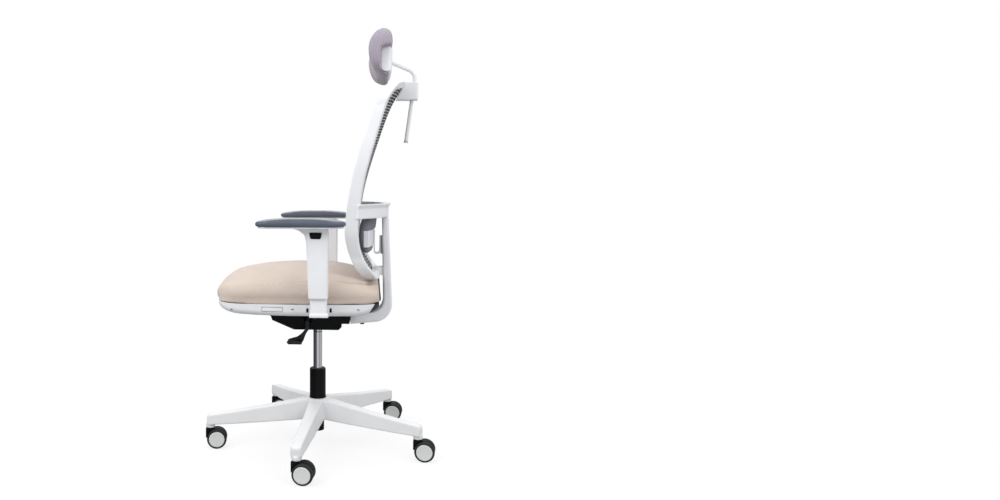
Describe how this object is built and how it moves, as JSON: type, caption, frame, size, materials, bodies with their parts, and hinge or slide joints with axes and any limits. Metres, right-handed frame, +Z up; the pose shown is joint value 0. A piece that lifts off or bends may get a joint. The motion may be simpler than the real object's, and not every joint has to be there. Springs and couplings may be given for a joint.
{
  "type": "office chair",
  "caption": "Ergonomic office chair with mesh back, lumbar pad, adjustable headrest and arms, sliding cushioned seat, gas lift and a star base on twin-wheel casters",
  "frame": {"origin": "the point on the floor under the axis of the gas column", "axes": "+Z up, the sitter faces -Y, +X is the sitter's left"},
  "size_m": [0.7029, 0.7017, 1.259],
  "materials": {
    "white_plastic": "satin",
    "pale_grey_plastic": "satin",
    "black_plastic": "matte",
    "black_steel": "satin",
    "polished_steel": "polished",
    "spring_steel": "bare",
    "beige_fabric": "woven",
    "lavender_fabric": "woven",
    "plum_grey_fabric": "woven",
    "blue_grey_pad": "soft matte",
    "woven_mesh": "open weave",
    "grey_wheel": "satin"
  },
  "bodies": {
    "base": {"star_base": "white_plastic", "caster_stems": "polished_steel", "gas_stand_tube": "black_steel", "gas_guide_bush": "black_plastic", "thrust_bearing": "polished_steel"},
    "gas_rod": {"piston_rod": "polished_steel", "rod_retaining_clip": "polished_steel"},
    "mechanism": {"gas_cylinder": "polished_steel", "mechanism_housing": "black_plastic", "pivot_pins": "black_steel", "tilt_spring": "spring_steel"},
    "release_pin": {"gas_release_pin": "polished_steel"},
    "lever": {"height_lever": "black_plastic"},
    "seat_carrier": {"seat_carrier": "black_plastic"},
    "seat": {"seat_shell": "white_plastic", "seat_cushion": "beige_fabric"},
    "depth_paddle": {"depth_paddle": "white_plastic"},
    "back": {"recline_carrier": "black_plastic", "back_upright": "white_plastic", "back_yoke": "white_plastic", "back_frame": "white_plastic", "back_mesh": "woven_mesh", "upright_track": "black_plastic", "lower_bracket": "white_plastic", "carrier_bolts": "black_steel", "headrest_clamp": "white_plastic"},
    "lumbar": {"lumbar_slider": "pale_grey_plastic", "lumbar_spring": "white_plastic", "lumbar_shell": "white_plastic", "lumbar_pad": "plum_grey_fabric"},
    "headrest_rod": {"headrest_rod": "white_plastic", "headrest_rod_cap": "pale_grey_plastic"},
    "headrest": {"headrest_pin": "polished_steel", "headrest_shell": "white_plastic", "headrest_pad": "lavender_fabric"},
    "caster_1": {"caster_1_hood": "black_plastic"},
    "caster_1_wheel_left": {"caster_1_wheel_left": "grey_wheel"},
    "caster_1_wheel_right": {"caster_1_wheel_right": "grey_wheel"},
    "caster_2": {"caster_2_hood": "black_plastic"},
    "caster_2_wheel_left": {"caster_2_wheel_left": "grey_wheel"},
    "caster_2_wheel_right": {"caster_2_wheel_right": "grey_wheel"},
    "caster_3": {"caster_3_hood": "black_plastic"},
    "caster_3_wheel_left": {"caster_3_wheel_left": "grey_wheel"},
    "caster_3_wheel_right": {"caster_3_wheel_right": "grey_wheel"},
    "caster_4": {"caster_4_hood": "black_plastic"},
    "caster_4_wheel_left": {"caster_4_wheel_left": "grey_wheel"},
    "caster_4_wheel_right": {"caster_4_wheel_right": "grey_wheel"},
    "caster_5": {"caster_5_hood": "black_plastic"},
    "caster_5_wheel_left": {"caster_5_wheel_left": "grey_wheel"},
    "caster_5_wheel_right": {"caster_5_wheel_right": "grey_wheel"},
    "arm_left_stem": {"arm_stem_left": "white_plastic"},
    "arm_left_sleeve": {"arm_sleeve_left": "white_plastic"},
    "arm_left_button": {"arm_button_left": "black_plastic"},
    "arm_left_plate": {"arm_plate_left": "white_plastic"},
    "arm_left_pad": {"arm_pad_left": "blue_grey_pad"},
    "arm_right_stem": {"arm_stem_right": "white_plastic"},
    "arm_right_sleeve": {"arm_sleeve_right": "white_plastic"},
    "arm_right_button": {"arm_button_right": "black_plastic"},
    "arm_right_plate": {"arm_plate_right": "white_plastic"},
    "arm_right_pad": {"arm_pad_right": "blue_grey_pad"}
  },
  "joints": [
    {"name": "caster_1_swivel", "type": "hinge", "parent": "base", "child": "caster_1", "pos_m": [0.33316, -0.03502, 0.062], "axis": [0, 0, 1], "continuous": true},
    {"name": "caster_1_left_roll", "type": "hinge", "parent": "caster_1", "child": "caster_1_wheel_left", "pos_m": [0.33595, -0.01521, 0.03], "axis": [0.9903, -0.1392, 0], "continuous": true},
    {"name": "caster_1_right_roll", "type": "hinge", "parent": "caster_1", "child": "caster_1_wheel_right", "pos_m": [0.33595, -0.01521, 0.03], "axis": [0.9903, -0.1392, 0], "continuous": true},
    {"name": "caster_2_swivel", "type": "hinge", "parent": "base", "child": "caster_2", "pos_m": [0.13626, 0.30604, 0.062], "axis": [0, 0, 1], "continuous": true},
    {"name": "caster_2_left_roll", "type": "hinge", "parent": "caster_2", "child": "caster_2_wheel_left", "pos_m": [0.13904, 0.32584, 0.03], "axis": [0.9903, -0.1392, 0], "continuous": true},
    {"name": "caster_2_right_roll", "type": "hinge", "parent": "caster_2", "child": "caster_2_wheel_right", "pos_m": [0.13904, 0.32584, 0.03], "axis": [0.9903, -0.1392, 0], "continuous": true},
    {"name": "caster_3_swivel", "type": "hinge", "parent": "base", "child": "caster_3", "pos_m": [-0.24895, 0.22416, 0.062], "axis": [0, 0, 1], "continuous": true},
    {"name": "caster_3_left_roll", "type": "hinge", "parent": "caster_3", "child": "caster_3_wheel_left", "pos_m": [-0.24617, 0.24396, 0.03], "axis": [0.9903, -0.1392, 0], "continuous": true},
    {"name": "caster_3_right_roll", "type": "hinge", "parent": "caster_3", "child": "caster_3_wheel_right", "pos_m": [-0.24617, 0.24396, 0.03], "axis": [0.9903, -0.1392, 0], "continuous": true},
    {"name": "caster_4_swivel", "type": "hinge", "parent": "base", "child": "caster_4", "pos_m": [-0.29012, -0.1675, 0.062], "axis": [0, 0, 1], "continuous": true},
    {"name": "caster_4_left_roll", "type": "hinge", "parent": "caster_4", "child": "caster_4_wheel_left", "pos_m": [-0.28734, -0.14769, 0.03], "axis": [0.9903, -0.1392, 0], "continuous": true},
    {"name": "caster_4_right_roll", "type": "hinge", "parent": "caster_4", "child": "caster_4_wheel_right", "pos_m": [-0.28734, -0.14769, 0.03], "axis": [0.9903, -0.1392, 0], "continuous": true},
    {"name": "caster_5_swivel", "type": "hinge", "parent": "base", "child": "caster_5", "pos_m": [0.06965, -0.32768, 0.062], "axis": [0, 0, 1], "continuous": true},
    {"name": "caster_5_left_roll", "type": "hinge", "parent": "caster_5", "child": "caster_5_wheel_left", "pos_m": [0.06687, -0.30787, 0.03], "axis": [0.9903, 0.1392, 0], "continuous": true},
    {"name": "caster_5_right_roll", "type": "hinge", "parent": "caster_5", "child": "caster_5_wheel_right", "pos_m": [0.06687, -0.30787, 0.03], "axis": [0.9903, 0.1392, 0], "continuous": true},
    {"name": "seat_swivel", "type": "hinge", "parent": "base", "child": "gas_rod", "pos_m": [0, 0, 0.054], "axis": [0, 0, 1], "continuous": true},
    {"name": "seat_height", "type": "slide", "parent": "gas_rod", "child": "mechanism", "axis": [0, 0, 1], "range_m": [-0.09, 0]},
    {"name": "height_lever", "type": "hinge", "parent": "mechanism", "child": "lever", "pos_m": [0.04, -0.025, 0.3953], "axis": [0, -1, 0], "range_deg": [0, 7], "stiffness_Nm_per_rad": 3, "springref_deg": -8.59},
    {"name": "gas_release", "type": "slide", "parent": "mechanism", "child": "release_pin", "axis": [0, 0, -1], "range_m": [0, 0.006]},
    {"name": "back_recline", "type": "hinge", "parent": "mechanism", "child": "back", "pos_m": [0, 0.06, 0.387], "axis": [-1, 0, 0], "range_deg": [0, 18], "stiffness_Nm_per_rad": 110, "springref_deg": -14.32, "deforming": ["tilt_spring"]},
    {"name": "seat_tilt", "type": "hinge", "parent": "mechanism", "child": "seat_carrier", "pos_m": [0, -0.105, 0.403], "axis": [-1, 0, 0], "range_deg": [0, 6.5]},
    {"name": "seat_depth", "type": "slide", "parent": "seat_carrier", "child": "seat", "axis": [0, -1, 0], "range_m": [0, 0.085]},
    {"name": "depth_paddle", "type": "hinge", "parent": "seat", "child": "depth_paddle", "pos_m": [0.245, -0.11, 0.4655], "axis": [0, -1, 0], "range_deg": [0, 15], "stiffness_Nm_per_rad": 0.6, "springref_deg": -8.59},
    {"name": "lumbar_height", "type": "slide", "parent": "back", "child": "lumbar", "axis": [0, 0, 1], "range_m": [-0.008, 0.035]},
    {"name": "headrest_height", "type": "slide", "parent": "back", "child": "headrest_rod", "axis": [0, 0.1305, 0.9914], "range_m": [0, 0.06]},
    {"name": "headrest_tilt", "type": "hinge", "parent": "headrest_rod", "child": "headrest", "pos_m": [0, 0.212, 1.1795], "axis": [-1, 0, 0], "range_deg": [-4, 20]},
    {"name": "arm_left_width", "type": "slide", "parent": "seat", "child": "arm_left_stem", "axis": [1, 0, 0], "range_m": [0, 0.025]},
    {"name": "arm_left_height", "type": "slide", "parent": "arm_left_stem", "child": "arm_left_sleeve", "axis": [0, 0, 1], "range_m": [-0.04, 0.045]},
    {"name": "arm_left_button_press", "type": "slide", "parent": "arm_left_sleeve", "child": "arm_left_button", "axis": [-1, 0, 0], "range_m": [0, 0.0016], "stiffness_N_per_m": 900, "springref_m": -0.001},
    {"name": "arm_left_swivel", "type": "hinge", "parent": "arm_left_sleeve", "child": "arm_left_plate", "pos_m": [0.285, 0.022, 0.6957], "axis": [0, 0, 1], "range_deg": [-15, 15]},
    {"name": "arm_left_pad_slide", "type": "slide", "parent": "arm_left_plate", "child": "arm_left_pad", "axis": [0, -1, 0], "range_m": [-0.02, 0.025]},
    {"name": "arm_right_width", "type": "slide", "parent": "seat", "child": "arm_right_stem", "axis": [-1, 0, 0], "range_m": [0, 0.025]},
    {"name": "arm_right_height", "type": "slide", "parent": "arm_right_stem", "child": "arm_right_sleeve", "axis": [0, 0, 1], "range_m": [-0.04, 0.045]},
    {"name": "arm_right_button_press", "type": "slide", "parent": "arm_right_sleeve", "child": "arm_right_button", "axis": [1, 0, 0], "range_m": [0, 0.0016], "stiffness_N_per_m": 900, "springref_m": -0.001},
    {"name": "arm_right_swivel", "type": "hinge", "parent": "arm_right_sleeve", "child": "arm_right_plate", "pos_m": [-0.285, 0.022, 0.6957], "axis": [0, 0, -1], "range_deg": [-15, 15]},
    {"name": "arm_right_pad_slide", "type": "slide", "parent": "arm_right_plate", "child": "arm_right_pad", "axis": [0, -1, 0], "range_m": [-0.02, 0.025]}
  ],
  "couplings": [
    {"joint": "gas_release", "follows": "height_lever", "m_per_rad": 0.045},
    {"joint": "seat_tilt", "follows": "back_recline", "ratio": 0.35}
  ]
}
